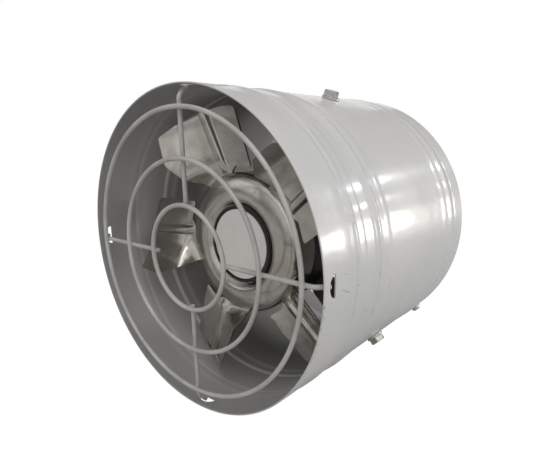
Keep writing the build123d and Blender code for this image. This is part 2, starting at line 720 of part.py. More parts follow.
finish(gland_nut.part, "gland_nut")

# Earth screw: a pan head on a toothed washer near the rear rim, with its nut inside
EARTH_WASHER_SHEET = 0.8
EARTH_WASHER_R = 4.4
EARTH_HEAD_R = 3.9
EARTH_HEAD = 2.8
EARTH_NUT_FLATS = 7.0
EARTH_NUT = 3.0
EARTH_SCREW_R = 2.0
EARTH_SCREW_END = 8.0
EARTH_CROSS = 4.6
TOOTH_COUNT = 12
TOOTH_GAP = 0.6
TOOTH_DEPTH = 0.9
EARTH_TOP_R = CASE_R + EARTH_WASHER_SHEET + EARTH_HEAD
EARTH_NUT_SEAT_R = sqrt(CASE_IN**2 - (EARTH_NUT_FLATS / sqrt(3)) ** 2)
with BuildPart() as earth_screw:
    with BuildSketch(radial_plane(EARTH_ANGLE, CASE_R - EARTH_SCREW_END, EARTH_Y)):
        Circle(EARTH_SCREW_R)
    extrude(amount=EARTH_SCREW_END + EARTH_WASHER_SHEET)
    with BuildSketch(radial_plane(EARTH_ANGLE, CASE_R + EARTH_WASHER_SHEET, EARTH_Y)):
        Circle(EARTH_HEAD_R)
    extrude(amount=EARTH_HEAD, taper=HEAD_TAPER)
    with BuildSketch(radial_plane(EARTH_ANGLE, EARTH_TOP_R - CROSS_DEPTH, EARTH_Y)):
        Rectangle(EARTH_CROSS, CROSS_WIDTH)
        Rectangle(CROSS_WIDTH, EARTH_CROSS)
    extrude(amount=DRILL, mode=Mode.SUBTRACT)
finish(earth_screw.part, "earth_screw")

with BuildPart() as earth_washer:
    with BuildSketch(radial_plane(EARTH_ANGLE, CASE_R, EARTH_Y)):
        Circle(EARTH_WASHER_R)
        Circle(EARTH_HOLE_R, mode=Mode.SUBTRACT)
        with PolarLocations(EARTH_WASHER_R, TOOTH_COUNT):
            Rectangle(TOOTH_DEPTH, TOOTH_GAP, mode=Mode.SUBTRACT)
    extrude(amount=EARTH_WASHER_SHEET)
finish(earth_washer.part, "earth_washer")

with BuildPart() as earth_nut:
    with BuildSketch(radial_plane(EARTH_ANGLE, EARTH_NUT_SEAT_R - EARTH_NUT, EARTH_Y)):
        RegularPolygon(EARTH_NUT_FLATS / 2, 6, major_radius=False)
        Circle(EARTH_SCREW_R, mode=Mode.SUBTRACT)
    extrude(amount=EARTH_NUT)
finish(earth_nut.part, "earth_nut")
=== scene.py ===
import math

import bmesh
import bpy
from mathutils import Matrix, Vector
from mathutils.geometry import delaunay_2d_cdt


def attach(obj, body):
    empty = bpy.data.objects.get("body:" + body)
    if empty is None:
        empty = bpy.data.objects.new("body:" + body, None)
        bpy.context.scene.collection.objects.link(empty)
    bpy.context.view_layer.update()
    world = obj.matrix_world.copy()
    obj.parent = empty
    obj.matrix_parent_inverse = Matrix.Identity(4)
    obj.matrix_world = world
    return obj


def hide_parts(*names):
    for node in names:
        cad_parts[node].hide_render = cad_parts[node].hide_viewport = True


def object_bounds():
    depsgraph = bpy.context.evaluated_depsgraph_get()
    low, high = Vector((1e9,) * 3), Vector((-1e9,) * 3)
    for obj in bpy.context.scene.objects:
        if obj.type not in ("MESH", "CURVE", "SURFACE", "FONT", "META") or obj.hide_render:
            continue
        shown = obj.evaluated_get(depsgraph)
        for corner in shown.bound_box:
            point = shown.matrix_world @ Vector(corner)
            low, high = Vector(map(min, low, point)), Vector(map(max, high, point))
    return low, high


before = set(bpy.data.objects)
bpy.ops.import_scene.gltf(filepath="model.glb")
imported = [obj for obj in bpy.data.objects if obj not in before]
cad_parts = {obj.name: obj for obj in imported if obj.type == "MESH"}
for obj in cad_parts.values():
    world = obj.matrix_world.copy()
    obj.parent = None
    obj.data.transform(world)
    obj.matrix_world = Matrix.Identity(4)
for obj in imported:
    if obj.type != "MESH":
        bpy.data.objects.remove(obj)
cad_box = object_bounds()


# Camera: it stands at the photograph's viewing angle, found from the ellipses of the rim and of the guard's
# rings. The tube's axis is Y, the front rim's centre is the origin, and the photograph is 557 by 464 pixels.
PHOTO_WIDTH = 557
FOCAL_PIXELS = 453.1
CENTRE_RIGHT_PIXELS = -29.0
CENTRE_UP_PIXELS = 19.9
SENSOR = 36.0
AZIMUTH = 36.7
ELEVATION = 14.52
camera_data = bpy.data.cameras.new("camera")
camera_data.sensor_width = SENSOR
camera_data.lens = FOCAL_PIXELS * SENSOR / PHOTO_WIDTH
camera_data.shift_x = CENTRE_RIGHT_PIXELS / PHOTO_WIDTH
camera_data.shift_y = CENTRE_UP_PIXELS / PHOTO_WIDTH
camera_data.clip_start = 0.01
camera = bpy.data.objects.new("camera", camera_data)
camera.location = (0.21475, -0.16777, 0.07192)
camera.rotation_euler = (math.radians(90 - ELEVATION), 0, math.radians(AZIMUTH))
bpy.context.scene.collection.objects.link(camera)
bpy.context.scene.camera = camera


# Casing: one steel sheet, 1 mm thick, rolled round and seam-welded, then run between wheels that press its
# shallow beads, and sprayed a pale grey inside and out. Half-moon slits near the front rim hold the guard.
# Round holes take the bracket's bolts, the cable gland and the earth screw.
MM = 0.001
CASE_R = 100.0
CASE_LENGTH = 194.0
SHEET = 1.0
CASE_SIDES = 240
# Each bead: its middle along the tube, half its width, and its height.
BEADS = (
    (25.8, 2.6, 0.45),
    (31.4, 3.0, 0.55),
    (56.8, 3.8, 0.75),
    (65.2, 6.6, 0.38),
    (157.5, 7.0, 0.35),
    (168.5, 9.0, 0.7),
)
# The recess runs from one place to another at a depth. The crease is a bead pressed inwards.
RECESS = (40.6, 51.4, 0.42)
RECESS_EDGE = 1.1
CREASE = (176.6, 1.0, 0.35)
INNER_SHARE = 0.65
BEAD_ZONES = ((22.0, 73.0), (149.0, 179.0))
BEAD_STEP = 0.75
PLAIN_STEP = 3.5
RIM_ROUND = 0.25
SLIT_ANGLES = (0, 90, 180, 270)
SLIT_HALF = 6.4
SLIT_FRONT = 4.4
SLIT_REAR = 9.8
BOLT_ANGLES = (74.0, 194.0, 314.0)
BOLT_Y = 110.0
BOLT_HOLE_R = 3.3
GLAND_ANGLE = 225.0
GLAND_Y = 132.0
GLAND_HOLE_R = 8.2
EARTH_ANGLE = 313.0
EARTH_Y = 186.0
EARTH_HOLE_R = 2.2
CUT_FROM = CASE_R - 6
CUT_TO = CASE_R + 4
GREY = (0.53, 0.53, 0.53)
WARM_GREY = (0.575, 0.565, 0.55)
DUST = (0.43, 0.43, 0.44)
# The two inside greys below are painted shade for the dim inside of the tube. The real paint is the same
# pale grey inside and out.
SHADED_GREY = (0.34, 0.335, 0.33)
DEEP_PAINTED_SHADE = (0.085, 0.08, 0.072)
CHIPPED = (0.14, 0.13, 0.125)


class Wire:
    """One output of a node. Sums and products of wires add Math nodes, so a finish is an expression."""

    def __init__(self, tree, socket):
        self.tree = tree
        self.socket = socket

    def math(self, operation, *values):
        return add_node(self.tree, "ShaderNodeMath", {"operation": operation}, list(values))

    def __add__(self, other):
        return self.math("ADD", self, other)

    __radd__ = __add__

    def __sub__(self, other):
        return self.math("SUBTRACT", self, other)

    def __rsub__(self, other):
        return self.math("SUBTRACT", other, self)

    def __mul__(self, other):
        return self.math("MULTIPLY", self, other)

    __rmul__ = __mul__

    def absolute(self):
        return self.math("ABSOLUTE", self)

    def ramp(self, low, high):
        """0 below low, 1 above high, and smooth between."""
        return add_node(
            self.tree,
            "ShaderNodeMapRange",
            {"interpolation_type": "SMOOTHSTEP"},
            {0: self, 1: low, 2: high, 3: 0.0, 4: 1.0},
        )


def add_node(tree, kind, settings=None, inputs=None, output=0):
    """Adds a node: its settings first, then the values or wires of its sockets."""
    node = tree.nodes.new(kind)
    for key, value in (settings or {}).items():
        setattr(node, key, value)
    pairs = enumerate(inputs) if isinstance(inputs, list) else (inputs or {}).items()
    for key, value in pairs:
        if isinstance(value, Wire):
            tree.links.new(value.socket, node.inputs[key])
        else:
            node.inputs[key].default_value = value
    return Wire(tree, node.outputs[output])


class Finish:
    """A material with one surface shader, whose constants sit on the shader's own sockets."""

    def __init__(self, name, **constants):
        self.material = bpy.data.materials.new(name)
        self.material.use_nodes = True
        self.tree = self.material.node_tree
        self.shader = self.tree.nodes["Principled BSDF"]
        for key, value in constants.items():
            self.shader.inputs[key.replace("_", " ").title().replace("Ior", "IOR")].default_value = value
        self.place = self.add("ShaderNodeTexCoord", output=3)

    def add(self, kind, settings=None, inputs=None, output=0):
        return add_node(self.tree, kind, settings, inputs, output)

    def around(self):
        """The distance from the tube's axis, the angle about it in radians, and the place along it."""
        split = self.add("ShaderNodeSeparateXYZ", inputs=[self.place])
        x, y, z = [Wire(self.tree, socket) for socket in split.socket.node.outputs]
        squares = x * x + z * z
        return squares.math("SQRT", squares), z.math("ARCTAN2", z, x), y

    def spot(self, x, y, z):
        return self.add("ShaderNodeCombineXYZ", inputs=[x, y, z])

    def stretched(self, sx, sy, sz):
        return self.add("ShaderNodeMapping", inputs={"Vector": self.place, "Scale": (sx, sy, sz)})

    def noise(self, scale, detail=3.0, vector=None, roughness=0.5, distortion=0.0):
        inputs = {
            "Vector": vector or self.place,
            "Scale": scale,
            "Detail": detail,
            "Roughness": roughness,
            "Distortion": distortion,
        }
        return self.add("ShaderNodeTexNoise", inputs=inputs)

    def mix(self, factor, first, second):
        colours = [c if isinstance(c, Wire) else (*c, 1.0) for c in (first, second)]
        return self.add(
            "ShaderNodeMix", {"data_type": "RGBA"}, {0: factor, 6: colours[0], 7: colours[1]}, output=2
        )

    def feed(self, **wires):
        for key, wire in wires.items():
            self.tree.links.new(wire.socket, self.shader.inputs[key.replace("_", " ").title()])

    def bumped(self, height, distance, strength=1.0):
        inputs = {"Height": height, "Distance": distance, "Strength": strength}
        self.feed(normal=self.add("ShaderNodeBump", inputs=inputs))


def band(along, centre, half):
    """1 within a narrow band round the tube, fading at its edges."""
    return 1.0 - (along * 1000.0 - centre).absolute().ramp(half * 0.5, half)


paint = Finish("casing_paint_and_painted_shade", coat_roughness=0.12, ior=1.5)
radius, angle, along = paint.around()
lap = angle * (CASE_R * MM)
inside = 1.0 - radius.ramp((CASE_R - 0.9) * MM, (CASE_R - 0.4) * MM)
outside = 1.0 - inside

cloudy = paint.noise(9.0, 2.0)
speckle = paint.noise(420.0, 4.0)
scuff = paint.noise(38.0, 5.0, roughness=0.75).ramp(0.62, 0.74) * 0.22
dusty = paint.mix(scuff, paint.mix(cloudy.ramp(0.38, 0.64), GREY, WARM_GREY), DUST)
# Inside the tube the colour is painted shade. It is a darker grey that darkens further, nearly to black,
# from about 20 to 125 mm behind the rim, where the impeller shades the wall.
deep = along.ramp(0.02, 0.095) * (1.0 - along.ramp(0.085, 0.125))
inside_painted_shade = paint.mix(deep, SHADED_GREY, DEEP_PAINTED_SHADE)

patches = paint.noise(55.0, 2.0).ramp(0.43, 0.56)
chip_place = paint.spot(lap * 420.0, along * 700.0, 3.0)
chips = paint.noise(1.0, 4.0, vector=chip_place, roughness=0.7).ramp(0.585, 0.625) * patches
rub_place = paint.spot(lap * 60.0, along * 900.0, 0.0)
rubs = paint.noise(1.0, 3.0, vector=rub_place).ramp(0.60, 0.68)
scratch_place = paint.spot(lap * 650.0 + along * 260.0, along * 70.0, 7.0)
scratches = paint.noise(1.0, 2.0, vector=scratch_place).ramp(0.715, 0.74) * patches * 0.55
ridges = (
    band(along, 31.0, 1.6)
    + band(along, 57.0, 3.0)
    + band(along, 71.0, 1.2)
    + band(along, 176.5, 2.0) * 0.5
    + band(along, 1.0, 1.4)
)
low_side = 1.0 - (angle + 0.5).absolute().ramp(0.5, 1.1)
marks = (chips * (low_side * 0.8 + 0.2) + rubs * 0.4 * low_side) * ridges * outside
worn = marks.math("MINIMUM", marks + scratches * outside, 1.0)

paint.feed(
    base_color=paint.mix(worn, paint.mix(inside, dusty, inside_painted_shade), CHIPPED),
    roughness=0.2 + 0.08 * speckle + 0.12 * cloudy + 0.25 * worn + 0.3 * inside,
    coat_weight=(0.4 - 0.3 * worn) * outside,
)
dents = paint.noise(16.0, 2.0) * 0.8 + paint.noise(58.0, 2.0) * 0.2
paint.bumped(dents + speckle * 0.012 - worn * 0.03, 0.0034, 0.62)


def smooth_step(value, low, high):
    t = min(max((value - low) / (high - low), 0.0), 1.0)
    return t * t * (3 - 2 * t)


def wall_rise(y):
    """How far the wall stands above the plain tube at this place along it, in millimetres."""
    rise = 0.0
    for centre, half, height in BEADS:
        reach = abs(y - centre) / half
        if reach < 1:
            rise += height * (0.5 + 0.5 * math.cos(math.pi * reach))
    start, end, depth = RECESS
    into = smooth_step(y, start - RECESS_EDGE, start + RECESS_EDGE)
    out = smooth_step(y, end - RECESS_EDGE, end + RECESS_EDGE)
    rise -= depth * into * (1 - out)
    centre, half, depth = CREASE
    rise -= depth * max(0.0, 1 - abs(y - centre) / half)
    return rise


def wall_stations():
    """Places along the tube, close together where the beads are."""
    first = 0.6
    y = first
    stations = [RIM_ROUND]
    while y < CASE_LENGTH - first:
        stations.append(y)
        y += BEAD_STEP if any(low < y < high for low, high in BEAD_ZONES) else PLAIN_STEP
    return stations + [CASE_LENGTH - RIM_ROUND]


def shade(piece, sharp=30.0):
    piece.data.shade_smooth()
    piece.data.set_sharp_from_angle(angle=math.radians(sharp))


def new_piece(name, points, faces, material, sharp=30.0):
    """A mesh object at the origin, with its points given in millimetres, closed and facing outwards."""
    mesh = bpy.data.meshes.new(name)
    mesh.from_pydata([Vector(p) * MM for p in points], [], faces)
    work = bmesh.new()
    work.from_mesh(mesh)
    bmesh.ops.remove_doubles(work, verts=work.verts, dist=1e-6)
    bmesh.ops.dissolve_degenerate(work, edges=work.edges, dist=1e-7)
    bmesh.ops.recalc_face_normals(work, faces=work.faces)
    work.to_mesh(mesh)
    work.free()
    mesh.materials.append(material)
    piece = bpy.data.objects.new(name, mesh)
    bpy.context.scene.collection.objects.link(piece)
    shade(piece, sharp)
    return piece


def skin(rings, sides, closed=False):
    """Faces between rings of points. Both ends get a lid, unless the last ring joins the first."""
    faces = []
    for ring in range(rings if closed else rings - 1):
        here = ring * sides
        after = (ring + 1) % rings * sides
        for i in range(sides):
            j = (i + 1) % sides
            faces.append((here + i, here + j, after + j, after + i))
    if not closed:
        faces.append(tuple(range(sides)))
        faces.append(tuple((rings - 1) * sides + i for i in range(sides)))
    return faces


def turned(name, profile, material, sides=96, sharp=30.0):
    """A closed loop of (radius, y) points turned about the tube's axis."""
    points = []
    for side in range(sides):
        angle = 2 * math.pi * side / sides
        points += [(r * math.cos(angle), y, r * math.sin(angle)) for r, y in profile]
    return new_piece(name, points, skin(sides, len(profile), closed=True), material, sharp)


def outward_at(angle):
    """The direction away from the tube's axis at an angle in degrees."""
    return Vector((math.cos(math.radians(angle)), 0, math.sin(math.radians(angle))))


def stack(name, rings, angle, y, material, sides=48, sharp=30.0, closed=False):
    """A body on a radius of the tube: rings of (distance from the axis, radius), numbers or by angle."""
    outward = outward_at(angle)
    along = Vector((0, 1, 0))
    across = outward.cross(along)
    points = []
    for distance, radius in rings:
        for side in range(sides):
            turn = 2 * math.pi * side / sides
            r = radius(turn) if callable(radius) else radius
            height = distance(turn) if callable(distance) else distance
            flat = along * (y + r * math.cos(turn)) + across * (r * math.sin(turn))
            points.append(outward * height + flat)
    return new_piece(name, points, skin(len(rings), sides, closed), material, sharp)


def hole_cutter(angle, y, hole_r, sides):
    """A round peg through the wall."""
    return stack("hole", [(CUT_FROM, hole_r), (CUT_TO, hole_r)], angle, y, None, sides)


def slit_cutter(angle):
    """A half-moon prism through the wall: straight towards the rear, curved towards the rim."""
    outward = outward_at(angle)
    across = Vector((-outward.z, 0, outward.x))
    steps = 16
    outline = [(SLIT_REAR, -SLIT_HALF), (SLIT_REAR, SLIT_HALF)]
    for step in range(1, steps):
        t = math.pi * step / steps
        outline.append((SLIT_REAR - (SLIT_REAR - SLIT_FRONT) * math.sin(t), SLIT_HALF * math.cos(t)))
    points = []
    for depth in (CUT_FROM, CUT_TO):
        points += [outward * depth + across * side + Vector((0, y, 0)) for y, side in outline]
    return new_piece("slit_cutter", points, skin(2, len(outline)), None)


def cut(piece, cutters):
    """Takes other meshes away from a piece and deletes them."""
    for cutter in cutters:
        step = piece.modifiers.new("cut", "BOOLEAN")
        step.object = cutter
        step.operation = "DIFFERENCE"
        step.solver = "EXACT"
    bpy.context.view_layer.update()
    graph = bpy.context.evaluated_depsgraph_get()
    old = piece.data
    piece.data = bpy.data.meshes.new_from_object(piece.evaluated_get(graph))
    piece.modifiers.clear()
    bpy.data.meshes.remove(old)
    for cutter in cutters:
        bpy.data.objects.remove(cutter)
    shade(piece)


stations = wall_stations()
front_edge = [(CASE_R - 0.8, 0.0), (CASE_R - 0.2, 0.0)]
outer_wall = [(CASE_R + wall_rise(y), y) for y in stations]
rear_edge = [(CASE_R - 0.2, CASE_LENGTH), (CASE_R - 0.8, CASE_LENGTH)]
inner_wall = [(CASE_R - SHEET + wall_rise(y) * INNER_SHARE, y) for y in reversed(stations[::2])]
case_profile = front_edge + outer_wall + rear_edge + inner_wall
casing = turned("casing", case_profile, paint.material, sides=CASE_SIDES, sharp=40)
cutters = [slit_cutter(a) for a in SLIT_ANGLES]
cutters += [hole_cutter(a, BOLT_Y, BOLT_HOLE_R, 24) for a in BOLT_ANGLES]
cutters.append(hole_cutter(GLAND_ANGLE, GLAND_Y, GLAND_HOLE_R, 32))
cutters.append(hole_cutter(EARTH_ANGLE, EARTH_Y, EARTH_HOLE_R, 20))
cut(casing, cutters)
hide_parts("casing_tube")
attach(casing, "casing")


# Weld seam: the sheet's two edges are welded where they meet, and the bead is planished to a low flat rib.
# It shows through the paint as a straight line along the tube, inside and outside.
SEAM_ANGLE = 125.4
SEAM_SINK = 0.05
SEAM_PROFILE = ((-1.3, 0.0), (-0.6, 0.22), (0.6, 0.22), (1.3, 0.0), (0.6, -0.22), (-0.6, -0.22))
seam_stations = [1.0] + [y for y in stations if 2 < y < CASE_LENGTH - 2][::2] + [CASE_LENGTH - 1.0]
seam_points = []
for y in seam_stations:
    middle = CASE_R - SHEET / 2 + wall_rise(y)
    for offset, height in SEAM_PROFILE:
        turn = math.radians(SEAM_ANGLE) + offset / CASE_R
        seam_r = middle
        if height:
            seam_r += math.copysign(SHEET / 2 - SEAM_SINK, height) + height
        if height < 0:
            seam_r -= wall_rise(y) * (1 - INNER_SHARE)
        seam_points.append((seam_r * math.cos(turn), y, seam_r * math.sin(turn)))
seam_faces = skin(len(seam_stations), len(SEAM_PROFILE))
seam = new_piece("casing_seam", seam_points, seam_faces, paint.material, sharp=60)
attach(seam, "casing")


# Wire guard rings: three hoops of steel wire, butt-welded closed, lie in front of the spokes and are
# spot-welded to them. The whole guard is dipped in the casing's paint, which runs a little thicker on wire.
WIRE_R = 1.4
RINGS = {"outer": 87.1, "middle": 58.9, "inner": 32.1}
RING_Y = -1.3
RING_SIDES = 160
WIRE_SIDES = 16
DARK_COAT = (0.40, 0.39, 0.375)
PALE_COAT = (0.50, 0.49, 0.475)
BARE_NICK = (0.13, 0.12, 0.11)

wire_paint = Finish("guard_wire_paint", ior=1.5, coat_weight=0.15, coat_roughness=0.2)
patchy = wire_paint.noise(45.0, 3.0)
nicks = wire_paint.noise(260.0, 3.0, roughness=0.7).ramp(0.69, 0.73)
coat_tone = wire_paint.mix(patchy.ramp(0.35, 0.65), DARK_COAT, PALE_COAT)
wire_paint.feed(
    base_color=wire_paint.mix(nicks * 0.7, coat_tone, BARE_NICK),
    roughness=0.34 + 0.15 * patchy + 0.2 * nicks,
)
wire_paint.bumped(wire_paint.noise(130.0, 3.0) * 0.6 - nicks * 0.3, 0.0003, 0.6)


def begin_tree(name, **inputs):
    """A new tree of geometry nodes: returns it with a wire from each of its named inputs."""
    tree = bpy.data.node_groups.new(name, "GeometryNodeTree")
    for label, kind in inputs.items():
        label = label.replace("_", " ").capitalize()
        tree.interface.new_socket(label, in_out="INPUT", socket_type=f"NodeSocket{kind}")
    given = tree.nodes.new("NodeGroupInput")
    return tree, [Wire(tree, socket) for socket in given.outputs[:len(inputs)]]


def end_tree(tree, shape, coat):
    """Ends a tree: what it made becomes one plain mesh with its material."""
    whole = add_node(tree, "GeometryNodeRealizeInstances", None, {"Geometry": shape})
    coated = add_node(tree, "GeometryNodeSetMaterial", None, {"Geometry": whole, "Material": coat})
    tree.interface.new_socket("Mesh", in_out="OUTPUT", socket_type="NodeSocketGeometry")
    end = tree.nodes.new("NodeGroupOutput")
    tree.links.new(coated.socket, end.inputs[0])


def hoop_tree():
    """Node tree: a circle of wire about the tube's axis."""
    tree, (hoop_radius, wire_radius, plane, coat) = begin_tree(
        "wire_hoop", hoop_radius="Float", wire_radius="Float", plane="Float", paint="Material"
    )
    circle_node = "GeometryNodeCurvePrimitiveCircle"
    by_radius = {"mode": "RADIUS"}
    circle = add_node(tree, circle_node, by_radius, {"Resolution": RING_SIDES, "Radius": hoop_radius})
    section = add_node(tree, circle_node, by_radius, {"Resolution": WIRE_SIDES, "Radius": wire_radius})
    tube = add_node(tree, "GeometryNodeCurveToMesh", None, {"Curve": circle, "Profile Curve": section})
    shift = add_node(tree, "ShaderNodeCombineXYZ", None, {1: plane})
    upright = add_node(
        tree,
        "GeometryNodeTransform",
        None,
        {"Geometry": tube, "Translation": shift, "Rotation": (math.pi / 2, 0, 0)},
    )
    end_tree(tree, upright, coat)
    return tree


def run_tree(piece, tree, **values):
    """Puts a node tree on a piece, sets its named inputs, and keeps the result as a plain mesh."""
    step = piece.modifiers.new("tree", "NODES")
    step.node_group = tree
    sockets = {item.name: item.identifier for item in tree.interface.items_tree if item.in_out == "INPUT"}
    for name, value in values.items():
        step[sockets[name.replace("_", " ").capitalize()]] = value
    piece.update_tag()
    bpy.context.view_layer.update()
    graph = bpy.context.evaluated_depsgraph_get()
    old = piece.data
    piece.data = bpy.data.meshes.new_from_object(piece.evaluated_get(graph))
    piece.modifiers.clear()
    if old.users == 0:
        bpy.data.meshes.remove(old)
    shade(piece)


hoops = hoop_tree()
for ring_name, ring_r in RINGS.items():
    hoop = bpy.data.objects.new(f"guard_hoop_{ring_name}", bpy.data.meshes.new("hoop"))
    bpy.context.scene.collection.objects.link(hoop)
    run_tree(
        hoop,
        hoops,
        hoop_radius=ring_r * MM,
        wire_radius=WIRE_R * MM,
        plane=RING_Y * MM,
        paint=wire_paint.material,
    )
    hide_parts(f"guard_ring_{ring_name}")
    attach(hoop, "casing")


# Wire guard spokes: four straight wires run from the inner ring to the rim, where each is bent back so that
# its cut end springs into a slit. A small squashed weld joins every ring to every spoke.
SPOKE_Y = 1.3
SPOKE_START = Vector((30.6, SPOKE_Y))
SPOKE_BEND = Vector((92.5, SPOKE_Y))
SPOKE_END = Vector((98.7, 6.9))
BEND_R = 5.0
CUT_END_R = 0.72
CUT_END_LENGTH = 0.35
WELD_SIZE = (1.75, 1.2, 1.75)


def bent_path(start, corner, end, radius):
    """Points along two straight runs with a rounded corner, in (distance from the axis, y)."""
    into = (start - corner).normalized()
    out = (end - corner).normalized()
    half = math.acos(max(-1, min(1, into.dot(out)))) / 2
    reach = radius / math.tan(half)
    first = corner + into * reach
    last = corner + out * reach
    centre = corner + (into + out).normalized() * radius / math.sin(half)
    path = [start.lerp(first, t / 12) for t in range(12)]
    for step in range(13):
        direction = (first - centre).lerp(last - centre, step / 12).normalized()
        path.append(centre + direction * radius)
    return path + [last.lerp(end, t / 4) for t in range(1, 5)]


def wire_piece(name, path, radius, material, sides=14):
    """A wire along (distance, y) points in the plane z = 0, with slightly rounded cut ends."""
    last = len(path) - 1
    rings = [(n, 0.0, radius) for n in range(last + 1)]
    rings.insert(0, (0, -CUT_END_LENGTH, radius * CUT_END_R))
    rings.append((last, CUT_END_LENGTH, radius * CUT_END_R))
    points = []
    for n, slide, ring_r in rings:
        tangent = (path[min(n + 1, last)] - path[max(n - 1, 0)]).normalized()
        side = Vector((-tangent.y, tangent.x))
        centre = path[n] + tangent * slide
        for k in range(sides):
            turn = 2 * math.pi * k / sides
            flat = centre + side * (ring_r * math.cos(turn))
            points.append((flat.x, flat.y, ring_r * math.sin(turn)))
    return new_piece(name, points, skin(len(rings), sides), material, sharp=50)


def weld_drop(distance):
    """A squashed drop of weld metal between a ring and a spoke."""
    mesh = bpy.data.meshes.new("weld")
    work = bmesh.new()
    bmesh.ops.create_uvsphere(work, u_segments=14, v_segments=8, radius=1.0)
    squash = Matrix.Diagonal((*WELD_SIZE, 1.0))
    bmesh.ops.transform(work, matrix=Matrix.Translation((distance, 0, 0)) @ squash, verts=work.verts)
    bmesh.ops.scale(work, vec=(MM, MM, MM), verts=work.verts)
    work.to_mesh(mesh)
    work.free()
    mesh.materials.append(wire_paint.material)
    drop = bpy.data.objects.new("weld", mesh)
    bpy.context.scene.collection.objects.link(drop)
    return drop


def joined(name, parts):
    """Puts several meshes into one and deletes the rest."""
    work = bmesh.new()
    for part in parts:
        work.from_mesh(part.data)
    mesh = bpy.data.meshes.new(name)
    work.to_mesh(mesh)
    work.free()
    mesh.materials.append(parts[0].data.materials[0])
    piece = bpy.data.objects.new(name, mesh)
    bpy.context.scene.collection.objects.link(piece)
    for part in parts:
        bpy.data.objects.remove(part)
    shade(piece)
    return piece


def repeat_tree():
    """Node tree: copies a piece about the tube's axis, with a count, a first angle and a step in degrees."""
    tree, (piece, count, first, step, coat) = begin_tree(
        "round_the_axis", piece="Geometry", count="Int", first="Float", step="Float", finish="Material"
    )
    spots = add_node(tree, "GeometryNodePoints", None, {"Count": count})
    index = add_node(tree, "GeometryNodeInputIndex")
    tilt = add_node(tree, "ShaderNodeCombineXYZ", None, {1: (first + index * step) * (-math.pi / 180)})
    turned_by = add_node(tree, "FunctionNodeEulerToRotation", None, {0: tilt})
    copies = add_node(
        tree,
        "GeometryNodeInstanceOnPoints",
        None,
        {"Points": spots, "Instance": piece, "Rotation": turned_by},
    )
    end_tree(tree, copies, coat)
    return tree


rounds = repeat_tree()
spoke_path = bent_path(SPOKE_START, SPOKE_BEND, SPOKE_END, BEND_R)
spoke_wire = wire_piece("spoke_wire", spoke_path, WIRE_R, wire_paint.material)
spokes = joined("guard_spokes", [spoke_wire] + [weld_drop(r) for r in RINGS.values()])
run_tree(spokes, rounds, count=4, first=0.0, step=90.0, finish=wire_paint.material)
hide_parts(*[f"guard_spoke_{n}" for n in ("right", "top", "left", "bottom")])
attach(spokes, "casing")


# Impeller hub: a dished pan pressed from bare sheet. A raised round shoulder about the cap falls to a
# rounded edge, with a skirt behind it that is pressed over the motor. Pressing leaves fine rings and a
# mottled shine.
HUB_FACE = (
    (27.0, 45.2), (27.6, 45.0), (28.6, 44.0), (29.8, 43.0), (31.4, 42.1), (33.2, 41.6),
    (35.0, 41.5), (37.0, 41.7), (39.2, 42.1), (41.4, 42.6), (43.4, 43.2), (45.2, 44.0),
    (46.6, 44.9), (47.5, 46.0), (48.0, 47.4), (48.0, 49.0), (48.0, 63.6), (47.6, 64.0),
)
HUB_BACK = (
    (46.7, 64.0), (46.6, 49.0), (46.4, 47.8), (45.4, 46.3), (44.0, 45.4), (42.0, 44.6),
    (39.0, 43.8), (35.0, 43.1), (32.4, 43.5), (30.6, 44.6), (29.4, 46.2), (28.6, 46.7),
)
HUB_MIDDLE = ((0.0, 46.7), (0.0, 45.2))
DARK_SHEET = (0.42, 0.395, 0.35)
BRIGHT_SHEET = (0.61, 0.585, 0.54)
SMEARED_SHEET = (0.34, 0.32, 0.285)


def metal_finish(name, ringed):
    """Bare pressed sheet: warm grey, with a mottled shine and fine lines left by the press."""
    metal = Finish(name, metallic=1.0)
    radius, angle, along = metal.around()
    mottle = metal.noise(26.0, 4.0, roughness=0.6)
    grain = metal.noise(700.0, 2.0)
    if ringed:
        line_place = metal.spot(radius * 1600.0, angle * 1.5, along * 300.0)
    else:
        line_place = metal.stretched(140.0, 140.0, 140.0)
    lines = metal.noise(1.0, 3.0, vector=line_place)
    smear = metal.noise(70.0, 3.0, vector=metal.stretched(1.0, 0.3, 1.0), distortion=1.5)
    tone = metal.mix(mottle.ramp(0.34, 0.66), DARK_SHEET, BRIGHT_SHEET)
    metal.feed(
        base_color=metal.mix(smear.ramp(0.58, 0.78) * 0.22, tone, SMEARED_SHEET),
        roughness=0.09 + 0.13 * mottle + 0.05 * lines + 0.03 * grain,
    )
    metal.bumped(mottle * 0.8 + smear * 0.1 + lines * 0.03, 0.0013, 0.6)
    return metal.material


hub_metal = metal_finish("hub_pressed_sheet", True)
hub = turned("hub_pan", HUB_FACE + HUB_BACK + HUB_MIDDLE, hub_metal, sides=144)
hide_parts("impeller_hub")
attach(hub, "impeller")


# Impeller blades: five are sheared and bent from the same sheet. Each has a raised rib near its middle, a
# gentle twist, and a facet bent sharply forward along its leading edge. Half of its root joins the hub in a
# smooth bend, and the other half is cut free, with a round notch beside the rib.
BLADE_COUNT = 5
FIRST_BLADE = 104.0
BLADE_SHEET = 1.4
# The blade's section near its neck and near its tip: places across it, and how far back each lies.
NECK_X = 57.0
NECK = ((-21.5, 46.3), (-10.0, 45.8), (1.0, 45.0), (12.0, 40.0), (24.5, 31.0), (31.0, 21.0))
TIP_X = 91.0
TIP = ((-18.5, 45.5), (-9.0, 43.8), (4.8, 41.0), (13.0, 36.5), (23.0, 30.0), (31.0, 19.5))
BEND_SPREAD = (-1.5, -0.8, -0.3, 0.3, 0.8, 1.5)
ROOT_Y = 47.0
ROOT_BEND = (47.4, 56.5)
RIB_HEIGHT = 2.7
RIB_SIDE = (1.1, 3.8)
RIB_RISE = (47.5, 51.5)
RIB_SLOPE = 0.115
RIB_END = 88.0
RIB_LINES = (-4.0, -3.5, -3.0, -2.5, -2.0, -1.5, -0.8, 0.0, 0.8, 1.5, 2.0, 2.5, 3.0, 3.5, 4.0)
